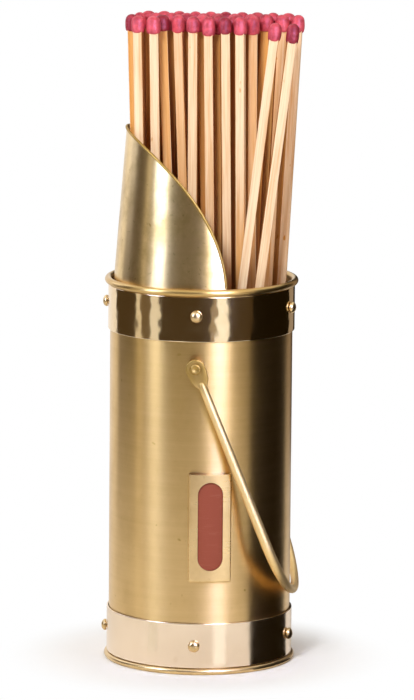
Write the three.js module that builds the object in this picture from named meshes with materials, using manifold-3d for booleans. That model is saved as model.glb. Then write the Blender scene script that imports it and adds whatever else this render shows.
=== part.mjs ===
// Long-match holder: a brass tube shaped like a small coal scuttle, with two riveted bands, a tapered hood at the
// mouth, a swinging bail handle, a striker pocket on the front and a handful of long matches standing in it.
// Millimetres, +Z up, origin at the middle of the foot. The front is -Y, the hood is at -X, the handle hangs at +X.
import * as THREE from 'three';
import { mergeVertices } from 'three/addons/utils/BufferGeometryUtils.js';
import Module from 'manifold-3d';

// Tube and rolled rim
const TUBE_RADIUS = 40;
const SHEET = 0.6; // tube, bands and hood
const GAP = 0.3; // between pieces that touch
const RIM_HEIGHT = 168.4; // centre of the wire in the rolled rim
const RIM_WIRE_RADIUS = 0.6;

// Floor and foot bead
const FLOOR_THICKNESS = 0.8;
const FOOT_BEAD_RADIUS = 1.3;
const FOOT_BEAD_SHOULDER = 0.4;

// Bands
const LOWER_BAND_HEIGHT = 19.8;
const UPPER_BAND_HEIGHT = 19.8;

// Rivets
const SHANK_RADIUS = 1.1;
const TAIL_RADIUS = 1.8;
const TAIL_HEIGHT = 0.8;
const BAND_HEAD_RADIUS = 2.55;
const BAND_HEAD_HEIGHT = 2.1;
const PIVOT_HEAD_RADIUS = 2.3;
const PIVOT_HEAD_HEIGHT = 1;
const HEAD_EDGE = 0.4; // straight edge under the dome of a head
const UPPER_RIVET_RAISE = 1.5; // upper rivets above the middle of their band
const RIGHT_RIVET_ANGLE = 75; // degrees from the front towards +X

// Hood
const HOOD_RISE = 65.5; // tip above the top of the rim
const HOOD_TAPER = 5.9; // how far the tip leans in from the skirt
const HOOD_HALF_ANGLE = 109; // degrees each way from -X
const HOOD_LAP_BELOW = 7.5; // skirt below the upper rivets
const HOOD_LAP_ABOVE = 2; // straight skirt above the upper rivets
const HOOD_EDGE_POWER = 1.8; // fullness of the curved edge

// Handle
const PIVOT_DROP = 11.1; // pivot below the upper band
const BOW_ABOVE_BAND = 9.2; // resting bow above the lower band
const BOW_DEPTH = 29;
const ROD_RADIUS = 1.8;
const EYE_RADIUS = 4.2;
const EYE_THICKNESS = 1.6;
const EYE_NECK = 7.4; // pivot to where the round rod begins
const EYE_OVERLAP = 3; // length of flat that runs into the rod
const WASHER_RADIUS = 3.8;
const WASHER_THICKNESS = 2.2;

// Striker pocket
const PLATE_WIDTH = 18.5;
const PLATE_HEIGHT = 47.5;
const PLATE_SHEET = 0.8;
const PLATE_ABOVE_BAND = 18.8;
const PLATE_ANGLE = 9.25; // degrees from the front towards +X
const WINDOW_WIDTH = 11;
const WINDOW_HEIGHT = 39;
const WINDOW_RAISE = 0.8; // window above the middle of the plate
const STRIP_THICKNESS = 1;
const STRIP_TOP_INSET = 1;

// Matches
const STICK_WIDTH = 4;
const MATCH_LENGTH = 284;
const HEAD_RADIUS = 3;
const HEAD_LENGTH = 9;
const HEAD_FULLNESS = 0.6; // below 1 the head swells out towards a cylinder
const FLOOR_SPREAD = 0.72; // share of the floor's reach that the fan stands on
const FRONT_ROW_FLOOR = -18; // place of the front row, along Y
const FRONT_ROW_HEADS = -19.5;
const ROW_SPACE_FLOOR = 1.8; // between sticks of neighbouring rows
const ROW_SPACE_HEADS = 1.1; // between heads of neighbouring rows
const HEAD_SPACE = 0.6; // least space between the heads of a row
const STICK_TURN = 10; // degrees, the most that a stick is turned about itself
const TURN_STEP = 2.4; // radians, so that neighbouring sticks are turned unlike

// Matches that stand side by side in one of the rows, of which 0 is the front one. floor and heads are the shares of
// the fan, from its left edge to its right edge, that they cover at the floor and at the heads.
const MATCH_GROUPS = [
  { row: 0, floor: [0.48, 0.62], heads: [0.96, 1.1] },
  { row: 1, floor: [0.07, 0.175], heads: [-0.01, 0.092] },
  { row: 1, floor: [0.44, 0.44], heads: [0.355, 0.355] },
  { row: 1, floor: [0.65, 0.65], heads: [0.457, 0.457] },
  { row: 1, floor: [0.785, 0.9], heads: [0.565, 0.667] },
  { row: 2, floor: [0.07, 0.07], heads: [-0.02, -0.02] },
  { row: 2, floor: [0.38, 0.5], heads: [0.17, 0.268] },
  { row: 2, floor: [0.6, 0.93], heads: [0.42, 0.73] },
  { row: 3, floor: [0.05, 1], heads: [0.03, 1] },
  { row: 4, floor: [0.09, 0.955], heads: [0.06, 0.95] },
];

// Faceting
const ROUND_SEGMENTS = 48;
const RIVET_SEGMENTS = 12;
const WIRE_SEGMENTS = 6;
const CURL_STEPS = 8;
const BEAD_STEPS = 6;
const DOME_STEPS = 4;
const EDGE_STEPS = 18;
const ROD_STEPS = 48;
const ARM_SHARE = 0.3; // share of the handle's steps along each arm
const HEAD_SEGMENTS = 8;
const HEAD_STEPS = 6;
const ARC_SEGMENTS = 6;

// Sizes that follow
const tubeInner = TUBE_RADIUS - SHEET;
const floorLevel = FLOOR_THICKNESS + GAP;
const skin = TUBE_RADIUS + GAP; // inner face of all that lies on the tube
const curlInner = RIM_WIRE_RADIUS + GAP;
const curlOuter = curlInner + SHEET;
const curlRadius = tubeInner + curlOuter;
const rimTop = RIM_HEIGHT + curlOuter;
const bandOuter = skin + SHEET;
const lowerBandBottom = 2 * FOOT_BEAD_RADIUS + GAP;
const lowerBandTop = lowerBandBottom + LOWER_BAND_HEIGHT;
const upperBandTop = RIM_HEIGHT - curlOuter - GAP;
const upperBandBottom = upperBandTop - UPPER_BAND_HEIGHT;
const lowerRivetHeight = (lowerBandBottom + lowerBandTop) / 2;
const upperRivetHeight = (upperBandBottom + upperBandTop) / 2 + UPPER_RIVET_RAISE;
const holeRadius = SHANK_RADIUS + GAP;
const hoodOuter = tubeInner - GAP;
const hoodTipRadius = hoodOuter - HOOD_TAPER;
const hoodBottom = upperRivetHeight - HOOD_LAP_BELOW;
const hoodShoulder = upperRivetHeight + HOOD_LAP_ABOVE;
const hoodTip = rimTop + HOOD_RISE;
const eyeInner = skin + WASHER_THICKNESS + GAP;
const eyeOuter = eyeInner + EYE_THICKNESS;
const armOffset = (eyeInner + eyeOuter) / 2;
const pivotHeight = upperBandBottom - PIVOT_DROP;
const bowReach = skin + ROD_RADIUS;
const bowDrop = pivotHeight - lowerBandTop - BOW_ABOVE_BAND;
const bowLength = Math.hypot(bowReach, bowDrop); // pivot to the middle of the bow
const restAngle = Math.atan2(bowReach, bowDrop);
const plateBottom = lowerBandTop + PLATE_ABOVE_BAND;
const plateTop = plateBottom + PLATE_HEIGHT;
const stripOuter = skin + STRIP_THICKNESS;
const pocketOuter = stripOuter + GAP;
const plateOuter = pocketOuter + PLATE_SHEET;
const pocketWidth = PLATE_WIDTH - 2 * PLATE_SHEET;

const SIDES = { front: 0, right: RIGHT_RIVET_ANGLE, back: 180, left: 270 };
const PIVOT_SIDES = ['front', 'back'];
const HOOD_SIDES = ['front', 'back', 'left'];

const FINISHES = {
  satinBrass: { color: 0xc3a064, roughness: 0.38, metalness: 1 },
  polishedBrass: { color: 0xe0c285, roughness: 0.12, metalness: 1 },
  tarnishedBrass: { color: 0xb99a62, roughness: 0.34, metalness: 1 },
  striker: { color: 0x9b5340, roughness: 0.95, metalness: 0 },
  matchwood: { color: 0xead0a6, roughness: 0.75, metalness: 0 },
};

const wasm = await Module();
wasm.setup();

// Solids: closed three.js geometry to manifold-3d and back
function toSolid(geometry) {
  const bare = geometry.clone();
  bare.deleteAttribute('normal');
  bare.deleteAttribute('uv');
  const merged = mergeVertices(bare);
  return new wasm.Manifold(
    new wasm.Mesh({
      numProp: 3,
      vertProperties: merged.attributes.position.array,
      triVerts: new Uint32Array(merged.index.array),
    }),
  );
}

function toGeometry(solid) {
  const mesh = solid.getMesh();
  const geometry = new THREE.BufferGeometry();
  geometry.setAttribute('position', new THREE.BufferAttribute(mesh.vertProperties, 3));
  geometry.setIndex(new THREE.BufferAttribute(mesh.triVerts, 1));
  geometry.computeVertexNormals();
  return geometry;
}

function cut(geometry, ...tools) {
  return toGeometry(tools.reduce((solid, tool) => solid.subtract(toSolid(tool)), toSolid(geometry)));
}

function join(geometry, ...others) {
  return toGeometry(others.reduce((solid, other) => solid.add(toSolid(other)), toSolid(geometry)));
}

function common(geometry, other) {
  return toGeometry(toSolid(geometry).intersect(toSolid(other)));
}

// Shapes
const radians = THREE.MathUtils.degToRad;
const lerp = THREE.MathUtils.lerp;

// Turns a profile of [radius, height] points, run anticlockwise, about +Z.
function revolve(profile, segments) {
  const points = profile.map(([radius, height]) => new THREE.Vector2(radius, height));
  return new THREE.LatheGeometry(points, segments).rotateX(Math.PI / 2);
}

// A ring of rectangular section.
function ring(inner, outer, bottom, top, segments) {
  const profile = [
    [inner, bottom],
    [outer, bottom],
    [outer, top],
    [inner, top],
    [inner, bottom],
  ];
  return revolve(profile, segments);
}

// Points on an arc about [x, y] between two angles in radians, both ends included.
function arc(x, y, radius, from, to, steps) {
  return Array.from({ length: steps + 1 }, (_, i) => {
    const angle = lerp(from, to, i / steps);
    return [x + radius * Math.cos(angle), y + radius * Math.sin(angle)];
  });
}

// Turns a solid that stands along +Z so that it points out of the tube on one side, at a height.
function pointOut(geometry, side, height) {
  return geometry
    .rotateX(Math.PI / 2)
    .rotateZ(radians(SIDES[side]))
    .translate(0, 0, height);
}

// A drill through the wall on one side.
function drill(side, height) {
  const bit = new THREE.CylinderGeometry(holeRadius, holeRadius, TUBE_RADIUS, RIVET_SEGMENTS);
  bit.rotateX(Math.PI / 2).translate(0, 0, TUBE_RADIUS);
  return pointOut(bit, side, height);
}

// A block in front of the axis that reaches past everything on the tube.
function frontBlock(width, bottom, top) {
  const depth = 2 * TUBE_RADIUS;
  return new THREE.BoxGeometry(width, depth, top - bottom).translate(0, -depth / 2, (bottom + top) / 2);
}

// Tube, with its top edge rolled outwards round the wire until it nearly meets the wall again
function bodyTube() {
  const curlEnd = -Math.acos((skin - curlRadius) / curlOuter);
  const profile = [
    [tubeInner, floorLevel],
    [TUBE_RADIUS, floorLevel],
    ...arc(curlRadius, RIM_HEIGHT, curlInner, Math.PI, curlEnd, CURL_STEPS),
    ...arc(curlRadius, RIM_HEIGHT, curlOuter, curlEnd, Math.PI, CURL_STEPS),
    [tubeInner, floorLevel],
  ];
  const bandDrills = Object.keys(SIDES).flatMap((side) => [
    drill(side, lowerRivetHeight),
    drill(side, upperRivetHeight),
  ]);
  const pivotDrills = PIVOT_SIDES.map((side) => drill(side, pivotHeight));
  return cut(revolve(profile, ROUND_SEGMENTS), ...bandDrills, ...pivotDrills);
}

function rimWire() {
  const section = arc(curlRadius, RIM_HEIGHT, RIM_WIRE_RADIUS, 0, 2 * Math.PI, WIRE_SEGMENTS);
  return revolve(section, ROUND_SEGMENTS);
}

// Floor disc, whose edge is a half-round bead that the tube stands in
function basePlate() {
  const beadCentre = skin + FOOT_BEAD_SHOULDER;
  const profile = [
    [0, 0],
    ...arc(beadCentre, FOOT_BEAD_RADIUS, FOOT_BEAD_RADIUS, -Math.PI / 2, Math.PI / 2, BEAD_STEPS),
    [skin, 2 * FOOT_BEAD_RADIUS],
    [skin, FLOOR_THICKNESS],
    [0, FLOOR_THICKNESS],
  ];
  return revolve(profile, ROUND_SEGMENTS);
}

function band(bottom, top, rivetHeight) {
  const drills = Object.keys(SIDES).map((side) => drill(side, rivetHeight));
  return cut(ring(skin, bandOuter, bottom, top, ROUND_SEGMENTS), ...drills);
}

// Rivet along +Z: a clenched tail, the shank and a domed head, at distances from the axis of the tube
function rivet(tailSeat, headSeat, headRadius, headHeight) {
  const dome = arc(0, 0, 1, 0, Math.PI / 2, DOME_STEPS).map(([x, y]) => [
    headRadius * x,
    headSeat + HEAD_EDGE + (headHeight - HEAD_EDGE) * y,
  ]);
  const profile = [
    [0, tailSeat - TAIL_HEIGHT],
    [TAIL_RADIUS, tailSeat - TAIL_HEIGHT],
    [TAIL_RADIUS, tailSeat],
    [SHANK_RADIUS, tailSeat],
    [SHANK_RADIUS, headSeat],
    [headRadius, headSeat],
    ...dome,
  ];
  return revolve(profile, RIVET_SEGMENTS);
}

function bandRivet(side, height, throughHood) {
  const tailSeat = (throughHood ? hoodOuter - SHEET : tubeInner) - GAP;
  return pointOut(rivet(tailSeat, bandOuter + GAP, BAND_HEAD_RADIUS, BAND_HEAD_HEIGHT), side, height);
}

function pivotRivet(side) {
  const shape = rivet(tubeInner - GAP, eyeOuter + GAP, PIVOT_HEAD_RADIUS, PIVOT_HEAD_HEIGHT);
  return pointOut(shape, side, pivotHeight);
}

function pivotWasher(side) {
  const shape = ring(holeRadius, WASHER_RADIUS, skin, skin + WASHER_THICKNESS, RIVET_SEGMENTS);
  return pointOut(shape, side, pivotHeight);
}

// Outer radius of the hood's cone at a height
function hoodRadius(height) {
  return hoodOuter - (HOOD_TAPER * (height - hoodShoulder)) / (hoodTip - hoodShoulder);
}

// Hood: a straight skirt and a cone of sheet, trimmed in side view by the curved edge
function hood() {
  const shellTop = hoodTip + SHEET;
  const profile = [
    [hoodOuter - SHEET, hoodBottom],
    [hoodOuter, hoodBottom],
    [hoodOuter, hoodShoulder],
    [hoodRadius(shellTop), shellTop],
    [hoodRadius(shellTop) - SHEET, shellTop],
    [hoodOuter - SHEET, hoodShoulder],
    [hoodOuter - SHEET, hoodBottom],
  ];
  const halfAngle = radians(HOOD_HALF_ANGLE);
  const beyond = -2 * TUBE_RADIUS;
  const outline = new THREE.Shape();
  outline.moveTo(beyond, hoodBottom - SHEET);
  outline.lineTo(-hoodOuter * Math.cos(halfAngle), hoodBottom - SHEET);
  for (let i = 0; i <= EDGE_STEPS; i += 1) {
    const share = Math.cos((i / EDGE_STEPS) * (Math.PI / 2));
    const height = rimTop + HOOD_RISE * (1 - share ** 2) ** (1 / HOOD_EDGE_POWER);
    outline.lineTo(-hoodRadius(height) * Math.cos(share * halfAngle), height);
  }
  outline.lineTo(beyond, hoodTip);
  outline.closePath();
  const depth = 4 * TUBE_RADIUS;
  const trim = new THREE.ExtrudeGeometry(outline, { depth, bevelEnabled: false });
  trim.rotateX(Math.PI / 2).translate(0, depth / 2, 0);
  const drills = HOOD_SIDES.map((side) => drill(side, upperRivetHeight));
  return cut(common(revolve(profile, ROUND_SEGMENTS), trim), ...drills);
}

// Middle line of the handle, hanging straight down from its pivot: two straight arms and a half-ellipse bow
class BailCurve extends THREE.Curve {
  constructor() {
    super();
    this.armEnd = bowLength - BOW_DEPTH;
  }

  getPoint(t, target = new THREE.Vector3()) {
    const fromEnd = Math.min(t, 1 - t);
    const side = t < 0.5 ? -1 : 1;
    if (fromEnd < ARM_SHARE) {
      return target.set(0, side * armOffset, -lerp(EYE_NECK, this.armEnd, fromEnd / ARM_SHARE));
    }
    const angle = ((fromEnd - ARM_SHARE) / (0.5 - ARM_SHARE)) * (Math.PI / 2);
    return target.set(0, side * armOffset * Math.cos(angle), -this.armEnd - BOW_DEPTH * Math.sin(angle));
  }
}

// Hammered eye: a flat that narrows to the rod, with the pivot hole
function handleEye() {
  const end = EYE_NECK + EYE_OVERLAP;
  const slope = Math.asin((EYE_RADIUS - ROD_RADIUS) / Math.hypot(end, EYE_RADIUS - ROD_RADIUS));
  const outline = new THREE.Shape();
  outline.absarc(0, 0, EYE_RADIUS, -slope, Math.PI + slope);
  outline.lineTo(-ROD_RADIUS, -end);
  outline.lineTo(ROD_RADIUS, -end);
  outline.closePath();
  const hole = new THREE.Path();
  hole.absarc(0, 0, holeRadius, 0, 2 * Math.PI);
  outline.holes.push(hole);
  const flat = new THREE.ExtrudeGeometry(outline, {
    depth: EYE_THICKNESS,
    bevelEnabled: false,
    curveSegments: ARC_SEGMENTS,
  });
  return flat.rotateX(Math.PI / 2);
}

function handleBail() {
  const section = new THREE.Shape();
  section.absarc(0, 0, ROD_RADIUS, 0, 2 * Math.PI);
  const rod = new THREE.ExtrudeGeometry(section, {
    steps: ROD_STEPS,
    curveSegments: ARC_SEGMENTS,
    extrudePath: new BailCurve(),
  });
  const frontEye = handleEye().translate(0, -eyeInner, 0);
  const backEye = handleEye().translate(0, eyeOuter, 0);
  return join(rod, frontEye, backEye);
}

// Striker pocket: a curved plate with folded sides and bottom, open at the top, and its window
function strikerPlate() {
  const shell = ring(skin, plateOuter, plateBottom, plateTop, ROUND_SEGMENTS);
  const pocketBottom = plateBottom + PLATE_SHEET;
  const pocketTop = plateTop + PLATE_SHEET;
  const pocketRing = ring(tubeInner, pocketOuter, pocketBottom, pocketTop, ROUND_SEGMENTS);
  const pocket = common(pocketRing, frontBlock(pocketWidth, pocketBottom, pocketTop));
  const straight = (WINDOW_HEIGHT - WINDOW_WIDTH) / 2;
  const outline = new THREE.Shape();
  outline.absarc(0, straight, WINDOW_WIDTH / 2, 0, Math.PI);
  outline.absarc(0, -straight, WINDOW_WIDTH / 2, Math.PI, 2 * Math.PI);
  outline.closePath();
  const window = new THREE.ExtrudeGeometry(outline, {
    depth: 2 * TUBE_RADIUS,
    bevelEnabled: false,
    curveSegments: ARC_SEGMENTS,
  });
  window.rotateX(Math.PI / 2).translate(0, 0, (plateBottom + plateTop) / 2 + WINDOW_RAISE);
  return cut(common(shell, frontBlock(PLATE_WIDTH, plateBottom, plateTop)), pocket, window);
}

function strikerStrip() {
  const bottom = plateBottom + PLATE_SHEET + GAP;
  const top = plateTop - STRIP_TOP_INSET;
  const shell = ring(skin, stripOuter, bottom, top, ROUND_SEGMENTS);
  return common(shell, frontBlock(pocketWidth - 2 * GAP, bottom, top));
}

// Match standing along +Z from its foot: a square stick and a dipped head in one piece
function match() {
  const stickLength = MATCH_LENGTH - HEAD_LENGTH / 2;
  const stick = new THREE.BoxGeometry(STICK_WIDTH, STICK_WIDTH, stickLength).translate(0, 0, stickLength / 2);
  const collar = MATCH_LENGTH - HEAD_LENGTH;
  const bulb = arc(0, 0, 1, -Math.PI / 2, Math.PI / 2, HEAD_STEPS).map(([x, y]) => [
    HEAD_RADIUS * x ** HEAD_FULLNESS,
    collar + (HEAD_LENGTH * (1 + y)) / 2,
  ]);
  return join(stick, revolve(bulb, HEAD_SEGMENTS));
}

// Feet and directions of the matches: they fan out between the hood's tip on the left and the rim on the right
function matchPlaces() {
  const halfDiagonal = STICK_WIDTH * Math.SQRT1_2;
  const floorReach = tubeInner - GAP - halfDiagonal;
  const rimReach = tubeInner - 2 * GAP - TAIL_HEIGHT - halfDiagonal;
  const tipReach = hoodTipRadius - SHEET - GAP - halfDiagonal;
  const across = (reach, y) => Math.sqrt(reach ** 2 - y ** 2);
  const headLevel = MATCH_LENGTH - HEAD_LENGTH / 2;
  const turnLimit = radians(STICK_TURN);
  const stickPitch = STICK_WIDTH * (Math.cos(turnLimit) + Math.sin(turnLimit)) + GAP;
  const headPitch = 2 * HEAD_RADIUS + HEAD_SPACE;
  const floorDrift = (STICK_WIDTH + ROW_SPACE_FLOOR - stickPitch) / 2;
  const headDrift = (ROW_SPACE_HEADS - GAP) / 2;
  const places = [];
  MATCH_GROUPS.forEach(({ row, floor, heads }) => {
    const floorY = FRONT_ROW_FLOOR + row * (STICK_WIDTH + ROW_SPACE_FLOOR);
    const headY = FRONT_ROW_HEADS + row * (2 * HEAD_RADIUS + ROW_SPACE_HEADS);
    const yAt = (height) => lerp(floorY, headY, height / headLevel);
    const floorEdge = FLOOR_SPREAD * across(floorReach, floorY);
    const leftHead = -floorEdge + ((floorEdge - across(tipReach, yAt(hoodTip))) * headLevel) / hoodTip;
    const rightHead = floorEdge + ((across(rimReach, yAt(rimTop)) - floorEdge) * headLevel) / rimTop;
    const [firstFoot, lastFoot] = floor.map((share) => lerp(-floorEdge, floorEdge, share));
    const [firstHead, lastHead] = heads.map((share) => lerp(leftHead, rightHead, share));
    const headSpan = lastHead - firstHead;
    const spaces = Math.floor(Math.min((lastFoot - firstFoot) / stickPitch, headSpan / headPitch));
    const sway = spaces ? (headSpan / spaces - 2 * HEAD_RADIUS - GAP) / 2 : 0;
    for (let i = 0; i <= spaces; i += 1) {
      const share = spaces ? i / spaces : 0.5;
      const variation = Math.sin(TURN_STEP * places.length);
      const footX = lerp(firstFoot, lastFoot, share);
      const headX = lerp(firstHead, lastHead, share) + sway * variation * Math.sin(Math.PI * share);
      const foot = new THREE.Vector3(footX, floorY + floorDrift * variation, 0);
      const head = new THREE.Vector3(headX, headY - headDrift * variation, headLevel);
      const direction = head.sub(foot).normalize();
      foot.z = floorLevel + halfDiagonal * Math.hypot(direction.x, direction.y);
      places.push({ foot, direction, turn: variation * turnLimit });
    }
  });
  return places;
}

// Assembly
const holder = new THREE.Group();

function addPiece(parent, name, geometry, finish) {
  const mesh = new THREE.Mesh(geometry, new THREE.MeshStandardMaterial(FINISHES[finish]));
  mesh.name = name;
  parent.add(mesh);
  return mesh;
}

addPiece(holder, 'body_tube', bodyTube(), 'satinBrass');
addPiece(holder, 'rim_wire', rimWire(), 'satinBrass');
addPiece(holder, 'base_plate', basePlate(), 'polishedBrass');
addPiece(holder, 'upper_band', band(upperBandBottom, upperBandTop, upperRivetHeight), 'polishedBrass');
addPiece(holder, 'lower_band', band(lowerBandBottom, lowerBandTop, lowerRivetHeight), 'polishedBrass');
addPiece(holder, 'hood', hood(), 'tarnishedBrass');

Object.keys(SIDES).forEach((side) => {
  const throughHood = HOOD_SIDES.includes(side);
  addPiece(holder, `upper_rivet_${side}`, bandRivet(side, upperRivetHeight, throughHood), 'polishedBrass');
  addPiece(holder, `lower_rivet_${side}`, bandRivet(side, lowerRivetHeight, false), 'polishedBrass');
});

PIVOT_SIDES.forEach((side) => {
  addPiece(holder, `pivot_rivet_${side}`, pivotRivet(side), 'polishedBrass');
  addPiece(holder, `pivot_washer_${side}`, pivotWasher(side), 'polishedBrass');
});

const bail = addPiece(holder, 'handle_bail', handleBail(), 'polishedBrass');
bail.position.z = pivotHeight;
bail.rotation.y = -restAngle;

const striker = new THREE.Group();
striker.rotation.z = radians(PLATE_ANGLE);
holder.add(striker);
addPiece(striker, 'striker_plate', strikerPlate(), 'polishedBrass');
addPiece(striker, 'striker_strip', strikerStrip(), 'striker');

const UP = new THREE.Vector3(0, 0, 1);
const matches = new THREE.Group();
holder.add(matches);
matchPlaces().forEach(({ foot, direction, turn }, index) => {
  const name = `match_${String(index + 1).padStart(2, '0')}`;
  const piece = addPiece(matches, name, match().rotateZ(turn), 'matchwood');
  piece.position.copy(foot);
  piece.quaternion.setFromUnitVectors(UP, direction);
});

export default holder;
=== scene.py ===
"""Models a brass long-match holder over its CAD frame, dresses it and lights it like the photograph.

Sizes of the holder are in millimetres and angles in degrees. Camera, lights and patterns are in metres.
"""

import logging
import math
import random
from collections.abc import Callable, Iterator, Sequence
from contextlib import contextmanager
from dataclasses import dataclass, field
from enum import Enum
from itertools import accumulate
from typing import Any

import bmesh
import bpy
from mathutils import Matrix, Vector, noise


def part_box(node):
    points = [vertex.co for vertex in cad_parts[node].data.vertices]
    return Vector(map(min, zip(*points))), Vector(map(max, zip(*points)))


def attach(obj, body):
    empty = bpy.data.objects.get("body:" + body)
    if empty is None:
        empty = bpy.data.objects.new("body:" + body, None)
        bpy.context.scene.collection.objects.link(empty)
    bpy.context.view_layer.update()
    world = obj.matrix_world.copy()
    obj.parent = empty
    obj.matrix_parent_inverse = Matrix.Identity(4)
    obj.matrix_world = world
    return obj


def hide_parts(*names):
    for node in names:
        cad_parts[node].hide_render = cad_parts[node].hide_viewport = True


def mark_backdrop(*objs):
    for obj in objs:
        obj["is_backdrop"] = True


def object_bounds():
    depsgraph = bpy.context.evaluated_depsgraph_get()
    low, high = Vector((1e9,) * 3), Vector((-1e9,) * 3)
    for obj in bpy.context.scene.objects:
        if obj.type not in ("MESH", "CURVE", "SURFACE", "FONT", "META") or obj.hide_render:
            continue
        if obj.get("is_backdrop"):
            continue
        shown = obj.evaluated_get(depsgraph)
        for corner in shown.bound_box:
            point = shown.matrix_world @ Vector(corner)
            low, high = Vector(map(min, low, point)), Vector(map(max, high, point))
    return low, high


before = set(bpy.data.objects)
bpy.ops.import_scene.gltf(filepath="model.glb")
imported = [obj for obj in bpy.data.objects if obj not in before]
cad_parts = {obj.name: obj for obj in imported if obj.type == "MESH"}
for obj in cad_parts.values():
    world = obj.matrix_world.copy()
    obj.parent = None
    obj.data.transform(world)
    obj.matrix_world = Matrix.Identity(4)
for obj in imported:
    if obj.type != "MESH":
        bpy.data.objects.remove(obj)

logging.basicConfig(level=logging.INFO, format="%(name)s: %(message)s")
log = logging.getLogger("match_holder")

MM = 0.001
Point = tuple[float, float]
Spot = tuple[float, float, float]
Colour = tuple[float, float, float]


class Body(Enum):
    """The bodies of the frame that pieces ride on."""

    HOLDER = "holder"
    HANDLE = "handle"
    STRIKER = "striker"
    MATCHES = "matches"


class Slot(Enum):
    """The material slots of the record."""

    SATIN = "satin_brass"
    POLISHED = "polished_brass"
    TARNISHED = "tarnished_brass"
    STRIKER = "striker"
    WOOD = "matchwood"
    HEAD = "match_head"


def arc(centre: Point, size: Point, start: float, end: float, steps: int) -> list[Point]:
    """Points along part of an ellipse.

    Args:
        centre: middle of the ellipse.
        size: its two half axes.
        start: first angle in degrees.
        end: last angle in degrees.
        steps: number of stretches between the points.

    Returns:
        The points, both ends included.
    """
    turns = [math.radians(start + (end - start) * i / steps) for i in range(steps + 1)]
    return [(centre[0] + size[0] * math.cos(t), centre[1] + size[1] * math.sin(t)) for t in turns]


def mix(low: float, high: float, share: float) -> float:
    """Returns the value a share of the way from low to high."""
    return low + (high - low) * share


def facing(azimuth: float) -> Matrix:
    """Returns the turn that points +Z outwards, level, at an angle from the front towards +X in degrees."""
    return Matrix.Rotation(math.radians(azimuth), 4, "Z") @ Matrix.Rotation(math.radians(90), 4, "X")


def outward(azimuth: float, elevation: float) -> Vector:
    """Returns the direction at an angle from the front towards +X and an angle upwards, in degrees."""
    a, e = math.radians(azimuth), math.radians(elevation)
    return Vector((math.sin(a) * math.cos(e), -math.cos(a) * math.cos(e), math.sin(e)))


def span(node: str) -> tuple[Vector, Vector]:
    """Returns the lowest and the highest corner of a CAD node, in millimetres."""
    low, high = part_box(node)
    return low / MM, high / MM


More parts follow.
